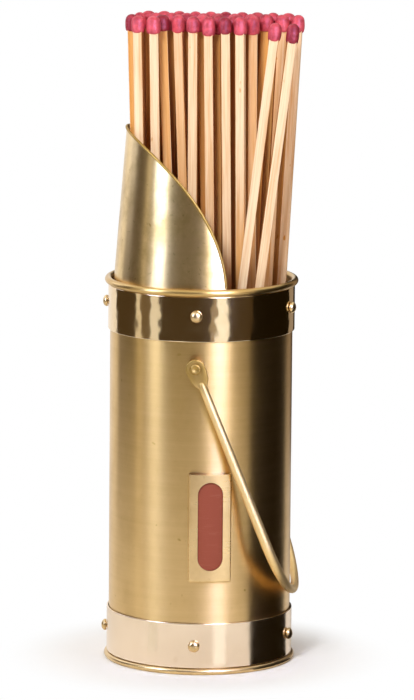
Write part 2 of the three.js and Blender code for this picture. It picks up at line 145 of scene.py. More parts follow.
class Bench:
    """Blender's modelling tools, used on one piece at a time. Sizes go in as millimetres."""

    DOUBLED = 0.002

    @staticmethod
    def take(piece: bpy.types.Object) -> bpy.types.Object:
        """Selects one piece alone and makes it active.

        Args:
            piece: the piece to take.

        Returns:
            The same piece.
        """
        bpy.ops.object.select_all(action="DESELECT")
        piece.select_set(True)
        bpy.context.view_layer.objects.active = piece
        return piece

    @staticmethod
    def named(name: str) -> bpy.types.Object:
        """Names the piece that was just added.

        Args:
            name: name of the piece and its mesh.

        Returns:
            The piece, selected alone.
        """
        piece = bpy.context.object
        piece.name = name
        piece.data.name = name
        return Bench.take(piece)

    @staticmethod
    @contextmanager
    def editing(piece: bpy.types.Object) -> Iterator[None]:
        """Opens a piece in edit mode with everything selected.

        Args:
            piece: the mesh to work on.

        Returns:
            A context that goes back to object mode at its end.
        """
        Bench.take(piece)
        bpy.ops.object.mode_set(mode="EDIT")
        bpy.ops.mesh.select_mode(type="VERT")
        bpy.ops.mesh.select_all(action="SELECT")
        yield
        bpy.ops.object.mode_set(mode="OBJECT")

    @staticmethod
    def pick(piece: bpy.types.Object, test: Callable[[bmesh.types.BMEdge], bool]) -> None:
        """Selects the edges of the piece being edited that pass a test.

        Args:
            piece: the mesh in edit mode.
            test: says of an edge whether it is picked.
        """
        bpy.ops.mesh.select_all(action="DESELECT")
        bpy.ops.mesh.select_mode(type="EDGE")
        mesh = bmesh.from_edit_mesh(piece.data)
        for edge in mesh.edges:
            edge.select_set(test(edge))
        bmesh.update_edit_mesh(piece.data)

    @staticmethod
    def draw(name: str, spots: Sequence[Spot], closed: bool = False) -> bpy.types.Object:
        """Draws a line of edges by extruding one vertex from spot to spot.

        Args:
            name: name of the piece.
            spots: corners of the line.
            closed: whether the last corner joins the first.

        Returns:
            A mesh of edges.
        """
        bpy.ops.mesh.primitive_plane_add(size=MM, location=(0, 0, 0))
        piece = Bench.named(name)
        with Bench.editing(piece):
            bpy.ops.mesh.merge(type="CENTER")
            here = Vector((0, 0, 0))
            for i, spot in enumerate(spots):
                step = Vector(spot) * MM - here
                if i == 0:
                    bpy.ops.transform.translate(value=step)
                else:
                    bpy.ops.mesh.extrude_region_move(TRANSFORM_OT_translate={"value": step})
                here += step
            if closed:
                Bench.join_ends(piece)
        return piece

    @staticmethod
    def join_ends(piece: bpy.types.Object) -> None:
        """Adds the edge between the two loose ends of the line being edited.

        Args:
            piece: the line in edit mode.
        """
        bpy.ops.mesh.select_all(action="DESELECT")
        bpy.ops.mesh.select_mode(type="VERT")
        mesh = bmesh.from_edit_mesh(piece.data)
        for corner in mesh.verts:
            corner.select_set(len(corner.link_edges) == 1)
        bmesh.update_edit_mesh(piece.data)
        bpy.ops.mesh.edge_face_add()

    @staticmethod
    def pair(name: str, outer: Sequence[Spot], inner: Sequence[Spot]) -> bpy.types.Object:
        """Draws two closed lines as one piece, ready to be bridged.

        Args:
            name: name of the piece.
            outer: corners of the outer line.
            inner: corners of the inner line.

        Returns:
            A mesh of edges.
        """
        piece, hole = Bench.draw(name, outer, True), Bench.draw(f"{name}_hole", inner, True)
        Bench.take(piece)
        hole.select_set(True)
        bpy.ops.object.join()
        return piece

    @staticmethod
    def tidy(piece: bpy.types.Object) -> bpy.types.Object:
        """Merges doubled corners and turns every face outwards.

        Args:
            piece: the mesh to work on.

        Returns:
            The changed piece.
        """
        with Bench.editing(piece):
            bpy.ops.mesh.remove_doubles(threshold=Bench.DOUBLED * MM)
            bpy.ops.mesh.normals_make_consistent(inside=False)
        return piece

    @staticmethod
    def face(piece: bpy.types.Object, way: Vector) -> None:
        """Turns the faces of an open sheet to one side.

        Args:
            piece: the sheet.
            way: where the face that lies furthest along this direction has to look.
        """
        with Bench.editing(piece):
            bpy.ops.mesh.normals_make_consistent(inside=False)
            mesh = bmesh.from_edit_mesh(piece.data)
            last = max(mesh.faces, key=lambda face: face.calc_center_median().dot(way))
            if last.normal.dot(way) < 0:
                bpy.ops.mesh.flip_normals()

    @staticmethod
    def turn(name: str, profile: Sequence[Point], steps: int, start: float = 0, sweep: float = 360) -> bpy.types.Object:
        """Turns a profile about Z like a lathe.

        Args:
            name: name of the piece.
            profile: radius and height of each corner.
            steps: number of facets round the turn.
            start: azimuth from the front where the turn starts, in degrees.
            sweep: angle of the turn in degrees.

        Returns:
            The turned mesh.
        """
        begin = math.radians(start - 90)
        piece = Bench.draw(name, [(r * math.cos(begin), r * math.sin(begin), z) for r, z in profile])
        with Bench.editing(piece):
            bpy.ops.mesh.spin(steps=steps, angle=math.radians(sweep), center=(0, 0, 0), axis=(0, 0, -1))
        return Bench.tidy(piece)

    @staticmethod
    def sweep(name: str, line: Sequence[Spot], rounds: int, radius_at: Callable[[float], float]) -> bpy.types.Object:
        """Makes a round rod along a line.

        Args:
            name: name of the piece.
            line: corners of its centre line.
            rounds: fineness of its roundness.
            radius_at: gives its radius at a length from the nearer end, in millimetres.

        Returns:
            The rod, closed at its ends.
        """
        Bench.draw(name, line)
        bpy.ops.object.convert(target="CURVE")
        curve = bpy.context.object.data
        curve.bevel_depth = MM
        curve.bevel_resolution = rounds
        curve.use_fill_caps = True
        points = curve.splines[0].points
        spots = [point.co.xyz / MM for point in points]
        along = [0.0, *accumulate((b - a).length for a, b in zip(spots, spots[1:]))]
        for point, here in zip(points, along):
            point.radius = radius_at(min(here, along[-1] - here))
        bpy.ops.object.convert(target="MESH")
        return Bench.tidy(Bench.named(name))

    @staticmethod
    def modify(piece: bpy.types.Object, kind: str, **settings: Any) -> bpy.types.Object:
        """Adds a modifier, sets it and applies it.

        Args:
            piece: the mesh to change.
            kind: type of the modifier.
            settings: values of its properties.

        Returns:
            The changed piece.
        """
        Bench.take(piece)
        bpy.ops.object.modifier_add(type=kind)
        modifier = piece.modifiers[-1]
        for key, value in settings.items():
            setattr(modifier, key, value)
        bpy.ops.object.modifier_apply(modifier=modifier.name)
        return piece

    @staticmethod
    def ease(piece: bpy.types.Object, width: float, segments: int, degrees: float) -> bpy.types.Object:
        """Rounds the edges of a piece that are sharper than an angle."""
        limit = {"limit_method": "ANGLE", "angle_limit": math.radians(degrees)}
        return Bench.modify(piece, "BEVEL", width=width * MM, segments=segments, **limit)

    @staticmethod
    def unite(piece: bpy.types.Object, other: bpy.types.Object) -> bpy.types.Object:
        """Welds another solid into a piece.

        Args:
            piece: the solid that stays.
            other: the solid that goes into it.

        Returns:
            The piece with both.
        """
        Bench.modify(piece, "BOOLEAN", operation="UNION", solver="EXACT", object=other)
        Bench.discard(other)
        return piece

    @staticmethod
    def reshape(piece: bpy.types.Object, move: Callable[[Vector], Vector]) -> bpy.types.Object:
        """Moves every corner of a piece by a rule.

        Args:
            piece: the mesh to change.
            move: gives a corner's new place in millimetres from its old one.

        Returns:
            The changed piece.
        """
        for corner in piece.data.vertices:
            corner.co = move(corner.co / MM) * MM
        piece.data.update()
        return piece

    @staticmethod
    def copy(master: bpy.types.Object, name: str, place: Matrix) -> bpy.types.Object:
        """Copies a piece with its own mesh and puts the copy in place.

        Args:
            master: the piece to copy.
            name: name of the copy.
            place: where it goes, in metres.

        Returns:
            The copy, at the origin with its place in the mesh.
        """
        twin = master.copy()
        twin.data = master.data.copy()
        twin.name = name
        twin.data.name = name
        twin.data.transform(place)
        bpy.context.scene.collection.objects.link(twin)
        return twin

    @staticmethod
    def smooth(piece: bpy.types.Object, degrees: float = 32) -> bpy.types.Object:
        """Shades a piece smooth except at sharp edges.

        Args:
            piece: the mesh to shade.
            degrees: angle from which an edge is sharp.

        Returns:
            The same piece.
        """
        Bench.take(piece)
        bpy.ops.object.shade_smooth_by_angle(angle=math.radians(degrees))
        return piece

    @staticmethod
    def dress(piece: bpy.types.Object, finish: bpy.types.Material, slot: Slot, body: Body, *nodes: str) -> None:
        """Gives a finished piece its material, its body and the nodes it stands for.

        Args:
            piece: the finished mesh.
            finish: its material.
            slot: its slot in the record; not used.
            body: the body it rides on.
            nodes: CAD nodes that it replaces.
        """
        piece.data.materials.clear()
        piece.data.materials.append(finish)
        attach(piece, body.value)
        if nodes:
            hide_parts(*nodes)
        log.info("%s: %d faces on %s", piece.name, len(piece.data.polygons), body.value)

    @staticmethod
    def plant(master: bpy.types.Object, node: str, ending: str, finish: bpy.types.Material) -> None:
        """Copies a turned piece to the place of a CAD node on the holder and dresses the copy.

        Args:
            master: the piece to copy, which lies along +Z.
            node: CAD node that the copy replaces.
            ending: what the name of the copy ends in.
            finish: its material.
        """
        low, high = span(node)
        middle = (low + high) / 2
        azimuth = math.degrees(math.atan2(middle.x, -middle.y))
        place = Matrix.Translation((0, 0, middle.z * MM)) @ facing(azimuth)
        piece = Bench.copy(master, f"{node}_{ending}", place)
        Bench.dress(piece, finish, Slot.POLISHED, Body.HOLDER, node)

    @staticmethod
    def discard(*masters: bpy.types.Object) -> None:
        """Removes pieces that served only to be copied or welded."""
        for master in masters:
            bpy.data.objects.remove(master)


class Wire:
    """A value on its way through a material. Sums and products of wires become Math nodes."""

    def __init__(self, graph: "Graph", socket: bpy.types.NodeSocket | None) -> None:
        """Holds an output socket of a graph, or none at its end."""
        self.graph = graph
        self.socket = socket

    def work(self, operation: str, first: Any, second: Any) -> "Wire":
        """Adds a Math node with two values and returns its result."""
        return self.graph.node("ShaderNodeMath", {"operation": operation}, {0: first, 1: second})

    def __add__(self, other: Any) -> "Wire":
        """Returns the sum."""
        return self.work("ADD", self, other)

    def __radd__(self, other: Any) -> "Wire":
        """Returns the sum."""
        return self.work("ADD", other, self)

    def __sub__(self, other: Any) -> "Wire":
        """Returns the difference."""
        return self.work("SUBTRACT", self, other)

    def __rsub__(self, other: Any) -> "Wire":
        """Returns the difference the other way round."""
        return self.work("SUBTRACT", other, self)

    def __mul__(self, other: Any) -> "Wire":
        """Returns the product."""
        return self.work("MULTIPLY", self, other)

    def __rmul__(self, other: Any) -> "Wire":
        """Returns the product."""
        return self.work("MULTIPLY", other, self)

    def between(self, low: float, high: float) -> "Wire":
        """Returns the value spread smoothly from 0 at low to 1 at high."""
        settings = {"interpolation_type": "SMOOTHSTEP"}
        return self.graph.node("ShaderNodeMapRange", settings, {"Value": self, "From Min": low, "From Max": high})


class Graph:
    """The nodes of one material or world."""

    def __init__(self, tree: bpy.types.NodeTree) -> None:
        """Empties a node tree and works in it."""
        self.tree = tree
        tree.nodes.clear()

    @classmethod
    def material(cls, name: str) -> tuple[bpy.types.Material, "Graph"]:
        """Makes a material.

        Args:
            name: its name.

        Returns:
            The material and its graph.
        """
        made = bpy.data.materials.new(name)
        made.use_nodes = True
        return made, cls(made.node_tree)

    def node(self, kind: str, settings: dict[str, Any], sockets: dict[Any, Any], out: Any = 0) -> Wire:
        """Adds a node.

        Args:
            kind: its type.
            settings: its properties, which are set first.
            sockets: values or wires for its inputs, by index, name or identifier.
            out: the output to go on with.

        Returns:
            The wire from that output.
        """
        node = self.tree.nodes.new(kind)
        for key, value in settings.items():
            setattr(node, key, value)
        for key, value in sockets.items():
            socket = self.find(node.inputs, key)
            if isinstance(value, Wire):
                self.tree.links.new(value.socket, socket)
            elif socket.type == "RGBA":
                socket.default_value = (*value, 1)
            else:
                socket.default_value = value
        outputs = [socket for socket in node.outputs if socket.enabled]
        return Wire(self, self.find(outputs, out)) if outputs else Wire(self, None)

    @staticmethod
    def find(sockets: Sequence[bpy.types.NodeSocket], key: Any) -> bpy.types.NodeSocket:
        """Finds a socket.

        Args:
            sockets: the sockets of one side of a node.
            key: its index, or the name or identifier of one in use.

        Returns:
            The first socket that fits.
        """
        if isinstance(key, int):
            return sockets[key]
        return next(s for s in sockets if s.enabled and key in (s.name, s.identifier))

    def place(self) -> Wire:
        """Returns the place on the piece, in metres."""
        return self.node("ShaderNodeTexCoord", {}, {}, "Object")

    def height(self) -> Wire:
        """Returns the height on the piece, in metres."""
        return self.node("ShaderNodeSeparateXYZ", {}, {0: self.place()}, "Z")

    def stored(self, name: str, out: str) -> Wire:
        """Returns a value stored on the mesh."""
        return self.node("ShaderNodeAttribute", {"attribute_name": name}, {}, out)

    def grain(self, place: Wire, stretch: Spot, detail: float = 3, roughness: float = 0.55) -> Wire:
        """Adds cloudy noise.

        Args:
            place: where it is looked up.
            stretch: number of clouds to the metre along each axis.
            detail: octaves of the noise.
            roughness: share of the fine octaves.

        Returns:
            The noise, from 0 to 1.
        """
        scaled = self.node("ShaderNodeMapping", {}, {"Vector": place, "Scale": stretch})
        sockets = {"Vector": scaled, "Scale": 1, "Detail": detail, "Roughness": roughness}
        return self.node("ShaderNodeTexNoise", {}, sockets)

    def blend(self, share: Wire, first: Any, second: Any) -> Wire:
        """Returns a colour a share of the way from the first to the second."""
        sockets = {"Factor_Float": share, "A_Color": first, "B_Color": second}
        return self.node("ShaderNodeMix", {"data_type": "RGBA"}, sockets, "Result_Color")

    def bump(self, height: Wire, distance: float) -> Wire:
        """Returns a normal that follows a height, whose full size is given in millimetres."""
        return self.node("ShaderNodeBump", {}, {"Height": height, "Distance": distance * MM, "Strength": 1})

    def skin(self, **sockets: Any) -> None:
        """Ends a material in a Principled shader with these inputs, spaces written as underscores."""
        named = {key.replace("_", " "): value for key, value in sockets.items()}
        self.end(self.node("ShaderNodeBsdfPrincipled", {}, named))

    def end(self, shader: Wire) -> None:
        """Ends a material in a shader."""
        self.node("ShaderNodeOutputMaterial", {}, {"Surface": shader})


@dataclass(frozen=True)
class Brass:
    """Brass sheet or rod, polished or brushed round its axis, a little tarnished, with painted shade that can darken it
    high up.

    Args:
        name: name of the material.
        colour: the clean brass.
        tarnish_and_shade: the darker brass, for tarnished clouds and for the painted shade high up.
        clouding: share of that darker brass in the clouds.
        roughness: roughness of the clean brass.
        brushing: how far the brushing draws reflections out.
        lines: height of the brushed lines in millimetres.
        waves: height of the uneven surface in millimetres.
        wave_size: size of its waves in millimetres.
        height_shade: share of painted shade high up, laid on with the darker brass.
        shade_heights: heights between which that painted shade sets in, in metres.
    """

    name: str
    colour: Colour
    tarnish_and_shade: Colour
    clouding: float
    roughness: float
    brushing: float = 0.0
    lines: float = 0.0
    waves: float = 0.0
    wave_size: float = 12.0
    height_shade: float = 0.0
    shade_heights: Point = (0.02, 0.17)

    def make(self) -> bpy.types.Material:
        """Makes the material.

        Returns:
            The material.
        """
        material, graph = Graph.material(self.name)
        place = graph.place()
        clouds = graph.grain(place, (70, 70, 55), detail=5, roughness=0.6).between(0.38, 0.72)
        specks = graph.grain(place, (420, 420, 420), detail=2).between(0.66, 0.74)
        brushed = graph.grain(place, (26, 26, 1900), detail=4, roughness=0.7)
        waves = graph.grain(place, (1 / (self.wave_size * MM),) * 3, detail=1)
        rows = graph.grain(place, (14, 14, 480), detail=4, roughness=0.65).between(0.3, 0.7)
        spots = graph.grain(place, (210, 210, 210), detail=1).between(0.77, 0.81)
        worn = clouds * self.clouding + specks * (self.clouding * 0.5)
        brushing = spots * (self.lines * 70) + rows * (self.lines * 12)
        # Tarnished clouds and specks, brushed lines, and painted shade that darkens the brass with height.
        share = worn + brushing + graph.height().between(*self.shade_heights) * self.height_shade
        height = brushed * self.lines + waves * self.waves
        graph.skin(
            Base_Color=graph.blend(share, self.colour, self.tarnish_and_shade),
            Metallic=1.0,
            Roughness=self.roughness + clouds * (self.roughness * 0.22) + brushed * (self.roughness * 0.3),
            Anisotropic=self.brushing,
            Anisotropic_Rotation=0.25,
            Normal=graph.bump(height, distance=1),
        )
        return material


@dataclass(frozen=True)
class StrikerCoat:
    """Red-brown striking compound with fine grit and a few pale rubs."""

    name: str
    colour: Colour
    rubbed: Colour

    def make(self) -> bpy.types.Material:
        """Makes the material.

        Returns:
            The material.
        """
        material, graph = Graph.material(self.name)
        place = graph.place()
        grit = graph.grain(place, (1500, 1500, 1500), detail=3)
        rubs = graph.grain(place, (160, 160, 900), detail=4).between(0.5, 0.78)
        graph.skin(
            Base_Color=graph.blend(rubs * 0.3, self.colour, self.rubbed),
            Roughness=0.75 + grit * 0.2,
            Specular_IOR_Level=0.15,
            Normal=graph.bump(grit, distance=0.05),
        )
        return material


@dataclass(frozen=True)
class Wood:
    """Pale split wood with fibres along the stick, darker in streaks and by a stored tone, with painted shade where
    other sticks stand near.
    """

    name: str
    pale: Colour
    # The second and the fourth colour are painted shade: the wood turns orange, then deep brown, where other sticks
    # stand near.
    half_shade: Colour
    dark: Colour
    deep: Colour

    def make(self) -> bpy.types.Material:
        """Makes the material.

        Returns:
            The material.
        """
        material, graph = Graph.material(self.name)
        along = graph.stored("along", "Vector")
        tone = graph.stored("tone", "Fac")
        # Painted shade, stored on the mesh: how near other sticks stand in front of each face.
        painted_shade = graph.stored("painted_shade", "Fac")
        fibres = graph.grain(along, (1400, 1400, 40), detail=4, roughness=0.6)
        streaks = graph.grain(along, (420, 420, 12), detail=3).between(0.45, 0.8)
        knots = graph.grain(along, (330, 330, 150), detail=1).between(0.74, 0.8)
        share = tone * 0.45 + streaks * 0.6 + fibres.between(0.4, 0.68) * 0.28 + knots * 0.6
        # Painted shade: faces that other sticks stand near turn orange here, and dark brown in the base colour below.
        shaded = graph.blend(painted_shade.between(0.0, 0.3) * 0.8, self.pale, self.half_shade)
        wood = graph.blend(share, shaded, self.dark)
        graph.skin(
            Base_Color=graph.blend(painted_shade.between(0.25, 0.85) * 0.85, wood, self.deep),
            Roughness=0.62 + fibres * 0.2,
            Specular_IOR_Level=0.08,
            Normal=graph.bump(fibres, distance=0.06),
        )
        return material


@dataclass(frozen=True)
class Dip:
    """Waxy pink-red match compound, a little mottled."""

    name: str
    colour: Colour
    deep: Colour

    def make(self) -> bpy.types.Material:
        """Makes the material.

        Returns:
            The material.
        """
        material, graph = Graph.material(self.name)
        place = graph.place()
        mottle = graph.grain(place, (330, 330, 330), detail=4).between(0.3, 0.75)
        pits = graph.grain(place, (900, 900, 900), detail=2)
        share = mottle * 0.7 + graph.stored("tone", "Fac")
        graph.skin(
            Base_Color=graph.blend(share, self.colour, self.deep),
            Roughness=0.42 + mottle * 0.15,
            Specular_IOR_Level=0.35,
            Normal=graph.bump(pits, distance=0.12),
        )
        return material


class Palette:
    """Every finish of the holder, made once."""

    def __init__(self) -> None:
        """Makes the materials."""
        # Painted shade darkens the satin tube towards its top.
        self.satin = Brass(
            "satin_brass", (0.84, 0.585, 0.26), (0.58, 0.37, 0.11),
            clouding=0.2, roughness=0.27, brushing=0.78, lines=0.012, height_shade=0.6,
        ).make()
        self.plate = Brass(
            "plate_brass", (0.86, 0.62, 0.295), (0.56, 0.35, 0.12),
            clouding=0.45, roughness=0.24, brushing=0.3, lines=0.001, waves=0.16, wave_size=12,
        ).make()
        self.polished = Brass(
            "polished_brass", (0.90, 0.71, 0.45), (0.60, 0.40, 0.16),
            clouding=0.25, roughness=0.095, brushing=0.3, lines=0.002, waves=0.22, wave_size=7,
        ).make()
        self.buffed = Brass(
            "buffed_brass", (0.95, 0.78, 0.58), (0.62, 0.42, 0.21),
            clouding=0.15, roughness=0.15, brushing=0.3, lines=0.002, waves=0.06, wave_size=8,
        ).make()
        self.rivet = Brass(
            "rivet_brass", (0.80, 0.58, 0.28), (0.48, 0.30, 0.12),
            clouding=0.4, roughness=0.24, waves=0.1, wave_size=3,
        ).make()
        self.hood = Brass(
            "tarnished_brass", (0.81, 0.59, 0.27), (0.44, 0.29, 0.09),
            clouding=0.8, roughness=0.25, brushing=0.7, lines=0.006, waves=0.2, wave_size=22,
        ).make()
        # Painted shade darkens this finish from 122 mm up, where the bail's eyes, the pivots and the hem sit.
        self.hammered = Brass(
            "hammered_brass", (0.95, 0.69, 0.30), (0.44, 0.27, 0.06),
            clouding=0.2, roughness=0.40, waves=0.14, wave_size=7, height_shade=0.95, shade_heights=(0.122, 0.132),
        ).make()
        self.striker = StrikerCoat("striker_coat", (0.29, 0.072, 0.043), rubbed=(0.40, 0.14, 0.09)).make()
        # The second and the fourth wood colour are painted shade where sticks stand near each other.
        self.wood = Wood(
            "matchwood", pale=(0.96, 0.74, 0.51), half_shade=(0.84, 0.41, 0.09),
            dark=(0.64, 0.26, 0.045), deep=(0.24, 0.042, 0.001),
        ).make()
        self.head = Dip("match_dip", (0.77, 0.10, 0.14), deep=(0.26, 0.01, 0.022)).make()


@dataclass
class Tube:
    """The tube, its top edge rolled outwards into a bead."""

    radius: float = 40.0
    sheet: float = 0.6
    steps: int = 160

    def build(self, palette: Palette) -> None:
        """Models the tube and dresses it.

        Args:
            palette: the finishes.
        """
        low, high = span("body_tube")
        roll = (high.x - self.radius + self.sheet) / 2
        centre = (high.x - roll, high.z - roll)
        lap = math.degrees(math.acos((self.radius - centre[0]) / roll))
        profile = [
            (self.radius - self.sheet, low.z),
            (self.radius, low.z),
            *arc(centre, (roll, roll), -lap, 180, 26),
            (self.radius - self.sheet, low.z),
        ]
        piece = Bench.smooth(Bench.turn("tube_with_rolled_rim", profile, self.steps))
        Bench.dress(piece, palette.satin, Slot.SATIN, Body.HOLDER, "body_tube", "rim_wire")


@dataclass
class Foot:
    """The floor disc with a half-round bead round the foot of the tube."""

    bead: float = 1.3
    floor: float = 0.8
    hollow: float = 0.3
    hollow_radius: float = 35.0
    slope: float = 0.8
    inset: float = 1.7
    steps: int = 160

    def build(self, palette: Palette) -> None:
        """Models the disc and dresses it.

        Args:
            palette: the finishes.
        """
        low, high = span("base_plate")
        centre = (high.x - self.bead, low.z + self.bead)
        skin = high.x - self.inset
        profile = [
            (0, low.z + self.hollow),
            (self.hollow_radius, low.z + self.hollow),
            (self.hollow_radius + self.slope, low.z),
            *arc(centre, (self.bead, self.bead), -90, 90, 14),
            (skin, high.z),
            (skin, low.z + self.floor),
            (0, low.z + self.floor),
        ]
        piece = Bench.smooth(Bench.turn("foot_disc_with_bead", profile, self.steps))
        Bench.dress(piece, palette.rivet, Slot.POLISHED, Body.HOLDER, "base_plate")


@dataclass
class Band:
    """A polished strip round the tube, its edges eased."""

    node: str
    buffed: bool = False
    sheet: float = 0.6
    edge: float = 0.28
    steps: int = 160

    def build(self, palette: Palette) -> None:
        """Models the strip and dresses it.

        Args:
            palette: the finishes.
        """
        low, high = span(self.node)
        edge = (self.edge, self.edge)
        profile = [
            (high.x - self.sheet, low.z),
            *arc((high.x - self.edge, low.z + self.edge), edge, -90, 0, 5),
            (high.x, low.z + 2 * self.edge),
            (high.x, high.z - 2 * self.edge),
            *arc((high.x - self.edge, high.z - self.edge), edge, 0, 90, 5),
            (high.x - self.sheet, high.z),
            (high.x - self.sheet, low.z),
        ]
        piece = Bench.smooth(Bench.turn(f"{self.node}_strip", profile, self.steps), 50)
        finish = palette.buffed if self.buffed else palette.polished
        Bench.dress(piece, finish, Slot.POLISHED, Body.HOLDER, self.node)


@dataclass
class Hood:
    """The tapered hood inside the mouth, with a convex cut edge and a narrow hem."""

    reach: float = 109.0
    fullness: float = 1.8
    radius: float = 39.1
    tip_radius: float = 33.2
    shoulder: float = 160.2
    rim: float = 169.9
    sheet: float = 0.6
    hem: float = 0.62
    hem_sink: float = 0.05
    hair: float = 0.01
    columns: int = 120
    rows: int = 26
    tip: float = field(default_factory=lambda: span("hood")[1].z)

    def edge_height(self, share: float) -> float:
        """Height of the cut edge, from share -1 at the front end to 1 at the back end."""
        rise = (1 - min(1, share * share)) ** (1 / self.fullness)
        return mix(self.rim, self.tip, rise)

    def radius_at(self, height: float) -> float:
        """Outer radius of the hood at a height."""
        share = max(0, (height - self.shoulder) / (self.tip - self.shoulder))
        return mix(self.radius, self.tip_radius, share)

    def share_at(self, turn: float) -> float:
        """Share round the hood of an even step from -1 to 1. The steps lie closer towards the two ends."""
        return math.sin(math.radians(90 * max(-1, min(1, turn))))

    def spot(self, share: float, height: float, out: float = 0) -> Vector:
        """A place on the hood.

        Args:
            share: place round the hood, from -1 at the front end to 1 at the back end.
            height: height in millimetres.
            out: distance outwards from the outer face.

        Returns:
            The place in millimetres.
        """
        turn = math.radians(self.reach * share)
        radius = self.radius_at(height) + out
        return Vector((-radius * math.cos(turn), radius * math.sin(turn), height))

    def settle(self, corner: Vector) -> Vector:
        """Moves a corner of the evenly turned sheet to its place under the cut edge.

        Args:
            corner: its place in millimetres.

        Returns:
            Its new place.
        """
        share = self.share_at(math.degrees(math.atan2(corner.y, -corner.x)) / self.reach)
        if corner.z <= self.shoulder + self.hair:
            return self.spot(share, corner.z)
        up = (corner.z - self.shoulder) / self.rows
        return self.spot(share, mix(self.shoulder, self.edge_height(share), up))

    def build(self, palette: Palette) -> None:
        """Models the hood with its hem and dresses it.

        Args:
            palette: the finishes.
        """
        low = span("hood")[0].z
        rises = [(self.radius, self.shoulder + i) for i in range(self.rows + 1)]
        sheet = Bench.turn("hood_sheet", [(self.radius, low), *rises], self.columns, 270 - self.reach, 2 * self.reach)
        Bench.face(Bench.reshape(sheet, self.settle), Vector((-1, 0, 0)))
        Bench.modify(sheet, "SOLIDIFY", thickness=self.sheet * MM, offset=-1, use_even_offset=True)
        Bench.smooth(sheet, 40)
        Bench.dress(sheet, palette.hood, Slot.TARNISHED, Body.HOLDER, "hood")
        self.build_hem(palette)

    def build_hem(self, palette: Palette) -> None:
        """Models the hem along the cut edge and dresses it.

        Args:
            palette: the finishes.
        """
        shares = [self.share_at(2 * i / self.columns - 1) for i in range(self.columns + 1)]
        out = self.hem - self.sheet - self.hem_sink
        line = [tuple(self.spot(share, self.edge_height(share), out)) for share in shares]
        hem = Bench.smooth(Bench.sweep("hood_hem", line, 4, lambda _: self.hem), 50)
        Bench.dress(hem, palette.hammered, Slot.POLISHED, Body.HOLDER)


@dataclass
class BandRivets:
    """Dome-headed rivets through the bands."""

    nodes: Sequence[str]
    seat: float = 41.2
    head: float = 2.55
    height: float = 2.1
    land: float = 0.35
    undercut: float = 0.15
    shank: float = 1.1
    tail: float = 38.4
    steps: int = 32

    def build(self, palette: Palette) -> None:
        """Models one rivet and copies it to every place.

        Args:
            palette: the finishes.
        """
        profile = [
            (0, self.tail),
            (self.shank, self.tail),
            (self.shank, self.seat),
            (self.head - self.undercut, self.seat),
            *arc((0, self.seat + self.land), (self.head, self.height - self.land), 0, 90, 12),
        ]
        master = Bench.smooth(Bench.turn("rivet", profile, self.steps), 45)
        for node in self.nodes:
            Bench.plant(master, node, "dome", palette.rivet)
        Bench.discard(master)


@dataclass
class Pivots:
    """The peened rivets that the handle turns on, and the washers that hold it off the tube."""

    sides: Sequence[str] = ("front", "back")
    head: float = 2.3
    seat: float = 44.7
    height: float = 0.8
    shank: float = 1.1
    tail: float = 38.4
    curl: float = 0.7
    land: float = 0.35
    dent: Sequence[Point] = ((0.5, 0.12), (0.25, 0.32), (0.0, 0.36))
    washer: float = 3.8
    washer_edge: float = 0.3
    bore: float = 1.4
    washer_from: float = 40.3
    washer_to: float = 42.5
    steps: int = 40

    def build(self, palette: Palette) -> None:
        """Models one rivet and one washer and copies both to the two sides.

        Args:
            palette: the finishes.
        """
        top = self.seat + self.height
        peened = [
            (0, self.tail),
            (self.shank, self.tail),
            (self.shank, self.seat),
            *arc((self.head - self.curl, self.seat + self.land), (self.curl, self.height - self.land), -60, 90, 7),
            *((self.head * share, top - deep) for share, deep in self.dent),
        ]
        rivet = Bench.smooth(Bench.turn("pivot_rivet", peened, self.steps), 50)
        edge = self.washer_edge
        ring = [
            (self.bore, self.washer_from),
            (self.washer, self.washer_from),
            *arc((self.washer - edge, self.washer_to - edge), (edge, edge), 0, 90, 4),
            (self.bore, self.washer_to),
            (self.bore, self.washer_from),
        ]
        washer = Bench.smooth(Bench.turn("pivot_washer", ring, self.steps), 50)
        for side in self.sides:
            Bench.plant(rivet, f"pivot_rivet_{side}", "turned", palette.hammered)
            Bench.plant(washer, f"pivot_washer_{side}", "turned", palette.hammered)
        Bench.discard(rivet, washer)


